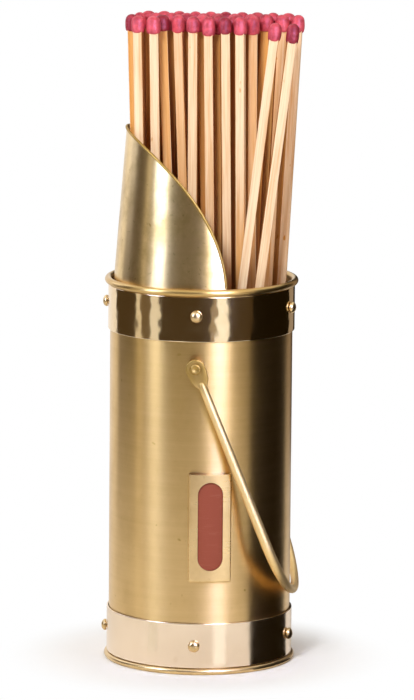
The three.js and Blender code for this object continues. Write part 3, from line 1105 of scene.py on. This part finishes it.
@dataclass
class Handle:
    """The bail: a tapered rod bent into a bow, its ends hammered flat into eyes."""

    pivot: float = 135.7
    side: float = 43.6
    neck: float = 7.4
    bow_depth: float = 29.0
    bow_middle: float = 2.0
    arm_spread: float = 1.6
    eye: float = 4.2
    hole: float = 1.7
    thickness: float = 1.6
    lap: float = 1.2
    eye_edge: float = 0.35
    arm_steps: int = 24
    bow_steps: int = 56
    shoulder: Sequence[Point] = ((4.05, -2.2), (3.95, -3.8), (3.7, -5.4), (3.1, -6.8), (2.2, -8.2), (1.4, -9.6))
    radii: Sequence[Point] = ((0.0, 1.1), (0.7, 1.6), (2.2, 1.85), (40.0, 2.05), (76.0, 2.2), (98.0, 2.1), (120.0, 1.8))

    def rest(self) -> tuple[float, float]:
        """Finds in the frame how the bail hangs.

        Returns:
            The length from the pivot to the bow in millimetres, and the angle in degrees.
        """
        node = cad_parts["handle_bail"]
        spots = [node.matrix_world @ corner.co / MM for corner in node.data.vertices]
        bow = [spot for spot in spots if abs(spot.y) < self.bow_middle]
        x, z = ((min(values) + max(values)) / 2 for values in ([s.x for s in bow], [s.z for s in bow]))
        drop = self.pivot - z
        return math.hypot(x, drop), math.degrees(math.atan2(x, drop))

    def thickness_at(self, along: float) -> float:
        """Finds the radius of the rod.

        Args:
            along: length from its nearer end in millimetres.

        Returns:
            The radius there.
        """
        for (a, low), (b, high) in zip(self.radii, self.radii[1:]):
            if along <= b:
                return mix(low, high, (along - a) / (b - a))
        return self.radii[-1][1]

    def path(self, length: float) -> list[Spot]:
        """Lays out the centre line of the rod, hanging straight down from the pivot.

        Args:
            length: length from the pivot to the bow.

        Returns:
            Its corners in millimetres.
        """
        start, end = self.neck - self.lap, length - self.bow_depth
        arm = [mix(start, end, (i / self.arm_steps) ** self.arm_spread) for i in range(self.arm_steps)]
        down = [(0.0, -self.side, -z) for z in arm]
        bow = [(0.0, y, z) for y, z in arc((0, -end), (self.side, self.bow_depth), -180, 0, self.bow_steps)]
        return [*down, *bow, *((0.0, -y, z) for _, y, z in reversed(down))]

    def eye_plate(self, middle: float) -> bpy.types.Object:
        """Models one flat eye.

        Args:
            middle: place of the middle of its thickness along Y.

        Returns:
            The eye as a solid.
        """
        right = [*arc((0, 0), (self.eye, self.eye), 90, -9, 11), *self.shoulder]
        outline = [*right, *((-x, z) for x, z in reversed(right[1:]))]
        front = middle - self.thickness / 2
        turns = [math.atan2(x, z) for x, z in outline]
        hole = [(self.hole * math.sin(t), front, self.hole * math.cos(t)) for t in turns]
        plate = Bench.pair("handle_eye", [(x, front, z) for x, z in outline], hole)
        with Bench.editing(plate):
            bpy.ops.mesh.bridge_edge_loops()
            bpy.ops.mesh.select_all(action="SELECT")
            bpy.ops.mesh.extrude_region_move(TRANSFORM_OT_translate={"value": (0, self.thickness * MM, 0)})
        return Bench.ease(Bench.tidy(plate), self.eye_edge, 3, 50)

    def build(self, palette: Palette) -> None:
        """Models the bail, hangs it at its rest angle and dresses it.

        Args:
            palette: the finishes.
        """
        length, angle = self.rest()
        bail = Bench.sweep("handle_rod", self.path(length), 5, self.thickness_at)
        for side in (-self.side, self.side):
            Bench.unite(bail, self.eye_plate(side))
        place = Matrix.Translation((0, 0, self.pivot * MM)) @ Matrix.Rotation(math.radians(-angle), 4, "Y")
        bail.data.transform(place)
        Bench.smooth(Bench.tidy(bail), 40)
        bail.name = "handle_bail_hammered"
        Bench.dress(bail, palette.hammered, Slot.POLISHED, Body.HANDLE, "handle_bail")


@dataclass
class StrikerPocket:
    """The flanged plate on the front of the tube, with an obround window, and the striker strip behind it."""

    skin: float = 40.3
    azimuth: float = 9.25
    width: float = 18.5
    depth: float = 2.1
    sheet: float = 0.8
    window_width: float = 11.0
    window_height: float = 39.0
    window_raise: float = 0.8
    strip: float = 1.0
    strip_width: float = 16.3
    strip_edge: float = 0.12
    fold: float = 0.55
    edge: float = 0.14
    sliver: float = 0.02
    bent: float = 1.0
    hair: float = 0.001
    corners: int = 24
    strip_cuts: tuple[int, int] = (24, 48)

    def wrap(self, corner: Vector) -> Vector:
        """Moves a corner of the flat plate onto the tube.

        Args:
            corner: its place in millimetres.

        Returns:
            Its new place.
        """
        radius = self.skin - corner.y
        bent = Vector((corner.x, -math.sqrt(radius * radius - corner.x * corner.x), corner.z))
        return Matrix.Rotation(math.radians(self.azimuth), 3, "Z") @ bent

    def outline(self, low: float, high: float) -> list[Point]:
        """Lays out the edge of the plate.

        Args:
            low: height of the lower edge of the plate.
            high: height of its upper edge.

        Returns:
            As many corners as the window has.
        """
        half, n = self.width / 2, self.corners
        sides = [
            ((half, mix(low, high, 0.5)), (half, high)),
            ((half, high), (-half, high)),
            ((-half, high), (-half, low)),
            ((-half, low), (half, low)),
            ((half, low), (half, mix(low, high, 0.5))),
        ]
        steps = (n, n, 2 * n, n, n)
        return [
            (mix(a[0], b[0], i / k), mix(a[1], b[1], i / k)) for (a, b), k in zip(sides, steps) for i in range(k)
        ]

    def window(self, low: float, high: float) -> list[Point]:
        """Lays out the edge of the window.

        Args:
            low: height of the lower edge of the plate.
            high: height of its upper edge.

        Returns:
            Its corners.
        """
        half = self.window_width / 2
        middle = (low + high) / 2 + self.window_raise
        straight = self.window_height / 2 - half
        n = self.corners
        right = [(half, middle + straight * i / n) for i in range(n)]
        top = arc((0, middle + straight), (half, half), 0, 180, n)[:-1]
        left = [(-half, middle + straight - straight * i / n) for i in range(2 * n)]
        bottom = arc((0, middle - straight), (half, half), 180, 360, n)[:-1]
        last = [(half, middle - straight + straight * i / n) for i in range(n)]
        return [*right, *top, *left, *bottom, *last]

    def plate(self) -> bpy.types.Object:
        """Models the plate flat, folds its sides and its bottom back and wraps it round the tube.

        Returns:
            The plate.
        """
        low, high = (corner.z for corner in span("striker_plate"))
        lines = self.outline(low, high), self.window(low, high)
        plate = Bench.pair("striker_pocket", *([(x, -self.depth, z) for x, z in line] for line in lines))
        with Bench.editing(plate):
            bpy.ops.mesh.bridge_edge_loops(number_cuts=4, interpolation="LINEAR")
        Bench.face(plate, Vector((0, -1, 0)))
        half, bottom, hair = self.width / 2 * MM, low * MM, self.hair * MM

        def folded(edge: bmesh.types.BMEdge) -> bool:
            """Says whether an edge lies on a side or the bottom of the face."""
            sides = all(abs(abs(v.co.x) - half) < hair for v in edge.verts)
            return edge.is_boundary and (sides or all(abs(v.co.z - bottom) < hair for v in edge.verts))

        with Bench.editing(plate):
            Bench.pick(plate, folded)
            bpy.ops.mesh.extrude_region_move(TRANSFORM_OT_translate={"value": (0, self.depth * MM, 0)})
            Bench.pick(plate, lambda edge: not edge.is_boundary and edge.calc_face_angle(0) > self.bent)
            bpy.ops.mesh.bevel(offset=self.fold * MM, segments=4, affect="EDGES")
        Bench.modify(plate, "SOLIDIFY", thickness=self.sheet * MM, offset=-1, use_even_offset=True)
        Bench.ease(plate, self.edge, 2, 60)
        with Bench.editing(plate):
            bpy.ops.mesh.dissolve_degenerate(threshold=self.sliver * MM)
        return Bench.smooth(Bench.reshape(plate, self.wrap), 35)

    def strip_block(self) -> bpy.types.Object:
        """Models the strip flat and wraps it round the tube.

        Returns:
            The strip.
        """
        low, high = (corner.z for corner in span("striker_strip"))
        place = {"location": (0, -self.strip * MM, (low + high) / 2 * MM), "rotation": (math.radians(90), 0, 0)}
        across, up = self.strip_cuts
        bpy.ops.mesh.primitive_grid_add(x_subdivisions=across, y_subdivisions=up, size=MM, **place)
        strip = Bench.named("striker_strip_coated")
        strip.scale = (self.strip_width, high - low, 1)
        bpy.ops.object.transform_apply(location=True, rotation=True, scale=True)
        Bench.modify(strip, "SOLIDIFY", thickness=self.strip * MM, offset=-1)
        return Bench.smooth(Bench.reshape(Bench.ease(strip, self.strip_edge, 2, 60), self.wrap), 35)

    def build(self, palette: Palette) -> None:
        """Models the pocket and its strip and dresses them."""
        Bench.dress(self.plate(), palette.plate, Slot.POLISHED, Body.HOLDER, "striker_plate")
        Bench.dress(self.strip_block(), palette.striker, Slot.STRIKER, Body.STRIKER, "striker_strip")


@dataclass
class Matches:
    """The long matches: square split sticks with dipped heads."""

    width: float = 4.0
    head_length: float = 9.0
    head_foot: Sequence[Point] = ((0, 0.5), (2.1, 0.15), (2.7, 0.5), (2.97, 1.8), (3.0, 3.78))
    head_dome: Sequence[Point] = ((2.94, 5.58), (2.7, 7.2), (2.04, 8.28), (1.08, 8.865), (0, 9))
    # The painted shade between sticks: its reach, the range of its random strength, its step along a stick and how far
    # to the side a neighbour still darkens a face.
    shade_reach: float = 12.0
    shade_range: Point = (0.45, 1.3)
    row: float = 7.0
    shade_edge: float = 0.6
    # Sticks further back may draw darker tones than those in front: partly painted shade.
    front_tone: float = 0.25
    tone_reach: float = 22.0
    tone_bias: float = 1.6
    head_tone: float = 0.7
    head_bias: float = 4
    swelling: Point = (1.0, 1.18)
    shrinking: Point = (0.8, 0.98)
    turning: Point = (0, 6)
    shifting: Point = (0, 5)
    edge: float = 0.28
    cuts: int = 40
    rough: Point = (0.09, 9.0)
    lumps: Point = (0.26, 2.6)
    steps: int = 22
    chance: random.Random = field(default_factory=lambda: random.Random(11))

    @staticmethod
    def stand(node: bpy.types.Object) -> tuple[Matrix, float]:
        """Finds how a match stands.

        Args:
            node: the CAD node of the match.

        Returns:
            The place of its foot with Z along the stick, and its length in millimetres.
        """
        spots = {tuple(round(c, 6) for c in node.matrix_world @ v.co) for v in node.data.vertices}
        foot = [Vector(spot) for spot in sorted(spots, key=lambda spot: spot[2])[:4]]
        centre = sum(foot, Vector()) / 4
        first = foot[0]
        far = max(foot, key=lambda spot: (spot - first).length)
        sides = [spot - first for spot in foot if spot not in (first, far)]
        across = sides[0].normalized()
        up = sides[0].cross(sides[1]).normalized()
        up = up if up.z > 0 else -up
        place = Matrix((across, up.cross(across), up)).transposed().to_4x4()
        place.translation = centre
        return place, max((Vector(spot) - centre).dot(up) for spot in spots) / MM

    def stick(self, length: float) -> bpy.types.Object:
        """Models one square stick standing on its foot.

        Args:
            length: its length in millimetres.

        Returns:
            The stick.
        """

        def upright(edge: bmesh.types.BMEdge) -> bool:
            """Says whether an edge runs along the stick."""
            return abs(edge.verts[0].co.z - edge.verts[1].co.z) > length / 2 * MM

        bpy.ops.mesh.primitive_cube_add(size=MM, location=(0, 0, 0))
        stick = Bench.named("match_stick")
        stick.scale = (self.width, self.width, length)
        stick.location = (0, 0, length / 2 * MM)
        bpy.ops.object.transform_apply(location=True, rotation=False, scale=True)
        with Bench.editing(stick):
            Bench.pick(stick, upright)
            bpy.ops.mesh.bevel(offset=self.edge * MM, segments=2, affect="EDGES")
            Bench.pick(stick, upright)
            bpy.ops.mesh.subdivide(number_cuts=self.cuts)
            bpy.ops.mesh.select_all(action="SELECT")
            bpy.ops.mesh.normals_make_consistent(inside=False)
        return Bench.smooth(stick, 50)

    def head(self) -> bpy.types.Object:
        """Models one dipped head, its foot at the origin.

        Returns:
            The head.
        """
        head = Bench.turn("match_head", [*self.head_foot, *self.head_dome], self.steps)
        Bench.modify(head, "SUBSURF", levels=1, render_levels=1)
        return Bench.smooth(head, 80)

    def crowd(self, place: Matrix, others: Sequence[Matrix], height: float) -> list[tuple[Vector, float]]:
        """Finds the sticks that stand near one, for the painted shade.

        Args:
            place: where the stick's foot stands.
            others: where the other sticks' feet stand.
            height: how far up to look, in metres.

        Returns:
            The direction of each and how near it is, from 0 to 1.
        """
        found = []
        axis = place.translation + place.col[2].xyz * height
        for other in others:
            rise = other.col[2].xyz
            gap = other.translation + rise * ((axis.z - other.translation.z) / rise.z) - axis
            far = max(0, gap.length / MM - self.width) / (self.shade_reach - self.width)
            if far < 1:
                found.append((gap.normalized(), 1 - far))
        return found

    def shade_shares(self, mesh: bpy.types.Mesh, place: Matrix, others: Sequence[Matrix]) -> list[float]:
        """Works out the painted shade of each face corner of a stick, from 0 to 1, by how closely other sticks stand in
        front of it.

        Args:
            mesh: the stick in its place.
            place: where its foot stands.
            others: where the other sticks' feet stand.

        Returns:
            The shares, in the order of the face corners.
        """
        crowds: dict[int, list[tuple[Vector, float]]] = {}
        shares = []
        for face in mesh.polygons:
            for index in face.vertices:
                row = round((mesh.vertices[index].co - place.translation).length / (self.row * MM))
                if row not in crowds:
                    crowds[row] = self.crowd(place, others, row * self.row * MM)
                edge = self.shade_edge
                faced = (near * ((1 + edge) * face.normal.dot(way) - edge) for way, near in crowds[row])
                shares.append(max([0.0, *faced]))
        return shares

    def note(self, piece: bpy.types.Object, place: Matrix, others: Sequence[Matrix], shift: Vector) -> None:
        """Stores the places along a stick, and the painted shade from how near the others stand, on its mesh.

        Args:
            piece: the stick in its place.
            place: where its foot stands.
            others: where the other sticks' feet stand.
            shift: offset that gives each stick its own fibres.
        """
        # Painted shade: each stick's share is scaled by a random amount.
        ease = self.chance.uniform(*self.shade_range)
        shares = [ease * share for share in self.shade_shares(piece.data, place, others)]
        piece.data.attributes.new("painted_shade", "FLOAT", "CORNER").data.foreach_set("value", shares)
        back = place.inverted()
        spots = [value for corner in piece.data.vertices for value in back @ corner.co + shift]
        piece.data.attributes.new("along", "FLOAT_VECTOR", "POINT").data.foreach_set("vector", spots)

    @staticmethod
    def tint(piece: bpy.types.Object, tone: float) -> None:
        """Stores a tone on the mesh of a piece."""
        shades = [tone] * len(piece.data.vertices)
        piece.data.attributes.new("tone", "FLOAT", "POINT").data.foreach_set("value", shades)

    @staticmethod
    def roughen(piece: bpy.types.Object, lumps: Point, shift: Vector, place: Matrix) -> None:
        """Draws the corners of a piece in towards its axis by an uneven amount.

        Args:
            piece: the mesh to change.
            lumps: depth and width of the unevenness in millimetres.
            shift: offset that gives each piece its own shape.
            place: where the foot stands, with Z along the axis.
        """
        size, lump = lumps
        axis = place.to_3x3().col[2]
        for corner in piece.data.vertices:
            arm = corner.co - place.translation
            arm -= axis * arm.dot(axis)
            draw = (noise.noise((corner.co + shift) / (lump * MM)) * 0.5 + 0.5) * size * MM
            if arm.length > draw:
                corner.co -= arm.normalized() * draw

    def tone(self, place: Matrix, length: float) -> float:
        """Draws by chance how dark a stick is. Those in front stay pale, so that sticks further back come out darker
        more often: partly painted shade, partly the wood's own random tone.

        Args:
            place: where its foot stands.
            length: length of the match in millimetres.

        Returns:
            The tone, from 0 to 1.
        """
        depth = 1 + (place @ Vector((0, 0, length * MM))).y / (self.tone_reach * MM)
        return min(1.0, max(self.front_tone, depth)) * self.chance.random() ** self.tone_bias

    def seat(self, place: Matrix, length: float) -> Matrix:
        """Draws by chance how a head is turned and swollen.

        Args:
            place: where the foot of its stick stands.
            length: length of the match in millimetres.

        Returns:
            The place of the head at the end of the stick.
        """
        top = place @ Matrix.Translation((0, 0, (length - self.head_length) * MM))
        turn = Matrix.Rotation(self.chance.uniform(*self.turning), 4, "Z")
        wide, tall = self.chance.uniform(*self.swelling), self.chance.uniform(*self.shrinking)
        drop = Matrix.Translation((0, 0, self.head_length * (1 - tall) * MM))
        return top @ drop @ turn @ Matrix.Diagonal((wide, wide, tall, 1))

    def build(self, palette: Palette) -> None:
        """Copies a stick and a head to every match of the frame and dresses them.

        Args:
            palette: the finishes.
        """
        nodes = sorted(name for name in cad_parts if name.startswith("match_"))
        stands = {name: self.stand(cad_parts[name]) for name in nodes}
        length = max(stand[1] for stand in stands.values())
        stick, head = self.stick(length - self.head_length / 2), self.head()
        for name, (place, _) in stands.items():
            number = name.rsplit("_", 1)[1]
            shift = Vector([self.chance.uniform(*self.shifting) for _ in range(3)])
            others = [stand[0] for other, stand in stands.items() if other != name]
            wood = Bench.copy(stick, f"match_stick_{number}", place)
            self.tint(wood, self.tone(place, length))
            self.note(wood, place, others, shift)
            self.roughen(wood, self.rough, shift, place)
            Bench.dress(wood, palette.wood, Slot.WOOD, Body.MATCHES, name)
            dip = Bench.copy(head, f"match_head_{number}", self.seat(place, length))
            self.roughen(dip, self.lumps, shift, place)
            self.tint(dip, self.head_tone * self.chance.random() ** self.head_bias)
            Bench.dress(dip, palette.head, Slot.HEAD, Body.MATCHES)
        Bench.discard(stick, head)


@dataclass(frozen=True)
class Card:
    """A card that shows in reflections alone. It fills the stretch of the tube's face between two angles.

    The angles are places on the tube, counted from the camera's side. The card stands at the ends of the rays that
    the tube throws back there, so that its sides show as upright lines on the tube.
    """

    name: str
    start: float
    end: float
    colour: Colour
    near: float = 480.0
    low: float = 1.0
    high: float = 480.0
    far: float = 480.0
    column: float = 1.5
    fewest: int = 4

    @classmethod
    def box(cls, name: str, start: float, end: float, colour: Colour, low: float = 200.0) -> "Card":
        """Returns a card that hangs high up, so that it shows in brushed finishes alone."""
        return cls(name, start, end, colour, low=low, high=640.0, far=470.0)

    def build(self, azimuth: float, radius: float) -> bpy.types.Object:
        """Models the card.

        Args:
            azimuth: azimuth of the camera in degrees.
            radius: radius of the tube in millimetres.

        Returns:
            The card, which runs along the floor from near to far if near is less, and then stands up.
        """
        rows = [(self.far, self.low), (self.far, self.high)]
        if self.near < self.far:
            rows.insert(0, (self.near, self.low))
        columns = max(self.fewest, round((self.end - self.start) / self.column))

        def settle(corner: Vector) -> Vector:
            """Moves a corner of the flat grid to its place round the tube.

            Args:
                corner: its place on the grid, from -0.5 to 0.5.

            Returns:
                Its new place in millimetres.
            """
            turn = mix(self.start, self.end, corner.x + 0.5)
            here, away = (math.radians(azimuth + angle) for angle in (turn, 2 * turn))
            reach, height = rows[round((corner.y + 0.5) * (len(rows) - 1))]
            x = radius * math.sin(here) + reach * math.sin(away)
            return Vector((x, -radius * math.cos(here) - reach * math.cos(away), height))

        cuts = {"x_subdivisions": columns, "y_subdivisions": len(rows) - 1}
        bpy.ops.mesh.primitive_grid_add(**cuts, size=MM, location=(0, 0, 0))
        card = Bench.reshape(Bench.named(f"card_{self.name}"), settle)
        material, graph = Graph.material(f"card_{self.name}")
        graph.end(graph.node("ShaderNodeEmission", {}, {"Color": self.colour, "Strength": 1.0}))
        card.data.materials.append(material)
        for ray in ("camera", "diffuse", "transmission", "shadow"):
            setattr(card, f"visible_{ray}", False)
        return card


@dataclass(frozen=True)
class Softbox:
    """A soft square light, aimed at the middle of the holder."""

    name: str
    azimuth: float
    elevation: float
    distance: float
    size: float
    power: float
    aim_height: float = 0.14

    def build(self) -> bpy.types.Object:
        """Makes the light.

        Returns:
            The light, which doesn't show itself.
        """
        lamp = bpy.data.lights.new(self.name, "AREA")
        lamp.size = self.size
        lamp.energy = self.power
        light = bpy.data.objects.new(self.name, lamp)
        away = outward(self.azimuth, self.elevation)
        light.location = Vector((0, 0, self.aim_height)) + away * self.distance
        light.rotation_euler = away.to_track_quat("Z", "Y").to_euler()
        light.visible_camera = False
        light.visible_glossy = False
        bpy.context.scene.collection.objects.link(light)
        return light


@dataclass
class Studio:
    """Camera, floor, surroundings and lights.

    The camera's aim lies off the middle of the picture by aim_off, in pixels of a picture that is image pixels high.
    """

    azimuth: float = 3.0
    elevation: float = 9.45
    roll: float = -0.46
    distance: float = 2.4
    aim_height: float = 0.14
    aim_off: Point = (5.8, 7.2)
    image: float = 700
    lens: float = 281.16
    sensor: float = 36
    sight: float = 60
    floor_size: float = 14
    tube: float = 40.0
    ambient: float = 0.32
    warmth: Colour = (1.0, 0.84, 0.66)
    paper: Colour = (0.94, 0.955, 0.985)
    run_out: Point = (0.042, 0.088)

    def camera(self) -> None:
        """Puts the camera where the photograph was taken from."""
        a, r = math.radians(self.azimuth), math.radians(self.roll)
        back = outward(self.azimuth, self.elevation)
        level = Vector((math.cos(a), math.sin(a), 0))
        above = back.cross(level)
        right = level * math.cos(r) - above * math.sin(r)
        up = level * math.sin(r) + above * math.cos(r)
        focal = self.lens / self.sensor * self.image
        aside, below = (pixels / focal for pixels in self.aim_off)
        back_axis = (back - right * aside + up * below).normalized()
        right_axis = (right - back_axis * right.dot(back_axis)).normalized()
        place = Matrix((right_axis, back_axis.cross(right_axis), back_axis)).transposed().to_4x4()
        place.translation = Vector((0, 0, self.aim_height)) + back * self.distance
        data = bpy.data.cameras.new("camera")
        data.lens = self.lens
        data.sensor_width = self.sensor
        data.clip_end = self.sight
        camera = bpy.data.objects.new("camera", data)
        camera.matrix_world = place
        bpy.context.scene.collection.objects.link(camera)
        bpy.context.scene.camera = camera

    def floor(self) -> bpy.types.Object:
        """Makes the pale floor, which runs out into white.

        Returns:
            The floor.
        """
        size = {"x_subdivisions": 8, "y_subdivisions": 8, "size": self.floor_size}
        bpy.ops.mesh.primitive_grid_add(**size, location=(0, 0, 0))
        floor = Bench.named("floor")
        material, graph = Graph.material("floor")
        away = graph.node("ShaderNodeVectorMath", {"operation": "LENGTH"}, {0: graph.place()}, "Value")
        seen = graph.node("ShaderNodeLightPath", {}, {}, "Is Camera Ray")
        paper = graph.node("ShaderNodeBsdfDiffuse", {}, {"Color": self.paper})
        white = graph.node("ShaderNodeEmission", {}, {"Color": (1, 1, 1), "Strength": 1.0})
        share = away.between(*self.run_out) * seen
        graph.end(graph.node("ShaderNodeMixShader", {}, {0: share, 1: paper, 2: white}))
        floor.data.materials.append(material)
        return floor

    def world(self) -> None:
        """Makes the surroundings: white to the camera and in reflections, an even soft light otherwise."""
        world = bpy.data.worlds.new("studio")
        world.use_nodes = True
        bpy.context.scene.world = world
        graph = Graph(world.node_tree)
        kinds = ("Camera", "Glossy", "Transmission")
        seen, mirrored, through = (graph.node("ShaderNodeLightPath", {}, {}, f"Is {kind} Ray") for kind in kinds)
        white = seen.work("MAXIMUM", seen, mirrored.work("MAXIMUM", mirrored, through))
        strength = white * (1 - self.ambient) + self.ambient
        tint = graph.blend(white, self.warmth, (1, 1, 1))
        light = graph.node("ShaderNodeBackground", {}, {"Color": tint, "Strength": strength})
        graph.node("ShaderNodeOutputWorld", {}, {"Surface": light})

    def build(self) -> None:
        """Sets up the studio."""
        dim = (0.062, 0.039, 0.014)
        cards = (
            Card("back_left", -90, -65, (1.0, 0.97, 0.95)),
            Card("far_left", -65, -44, (0.07, 0.045, 0.018)),
            Card("left_strip", -44, -40, (0.8, 0.73, 0.6)),
            Card("left", -40, -33, (0.16, 0.11, 0.05)),
            Card("left_window", -33, -26.3, (0.85, 0.82, 0.75), 40),
            Card.box("edge_box", -69, -57, (1.6, 1.7, 2.2)),
            Card.box("left_box", -35.5, -25.5, (6.5, 7.8, 12.5)),
            Card("front", -26.3, 6, dim),
            Card("key_edge", 6, 9, (0.35, 0.28, 0.18)),
            Card("key", 9, 16.5, (1.2, 1.2, 1.2), 15),
            Card.box("key_box_left", 4.5, 8, (8.5, 8.6, 8.6), low=180),
            Card.box("key_box", 8, 15.5, (8.5, 10.3, 27.0), low=180),
            Card.box("key_box_right", 15.5, 19, (8.5, 8.6, 8.6), low=180),
            Card.box("right_box", 20, 33, (1.2, 1.1, 1.0)),
            Card("front_right", 16.5, 33, dim),
            Card("flag", 33, 69, (0.010, 0.006, 0.001), 2),
            Card("right", 69, 79, (0.34, 0.27, 0.2)),
            Card("right_edge", 79, 90, (0.012, 0.007, 0.003)),
        )
        stage = [card.build(self.azimuth, self.tube) for card in cards]
        stage.append(self.floor())
        lights = (
            Softbox("key", -16, 34, 1.5, 0.35, 16.0),
            Softbox("fill", 55, 25, 1.6, 0.8, 3.0),
            Softbox("top", 180, 65, 1.5, 0.9, 5.0),
        )
        stage.extend(light.build() for light in lights)
        self.camera()
        self.world()
        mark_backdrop(*stage)
        bpy.context.scene.view_settings.view_transform = "Standard"
        log.info("studio: %d cards and %d lights", len(cards), len(lights))


class Holder:
    """The whole match holder."""

    def __init__(self) -> None:
        """Lists the sub-assemblies."""
        rivets = [f"{band}_rivet_{side}" for band in ("upper", "lower") for side in ("front", "right", "back", "left")]
        self.parts = (
            Tube(),
            Foot(),
            Band("upper_band"),
            Band("lower_band", buffed=True),
            Hood(),
            BandRivets(rivets),
            Pivots(),
            Handle(),
            StrikerPocket(),
            Matches(),
        )

    def build(self) -> None:
        """Models and dresses every sub-assembly."""
        palette = Palette()
        for part in self.parts:
            part.build(palette)


def corners(box: tuple[Vector, Vector]) -> list[list[float]]:
    """Returns the two corners of a box as plain lists."""
    return [list(map(float, corner)) for corner in box]


def main() -> None:
    """Builds the scene and measures the size of the frame beside the size of what is shown."""
    cad = corners(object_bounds())
    Holder().build()
    Studio().build()
    {"cad": cad, "visual": corners(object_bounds())}


if __name__ == "__main__":
    main()
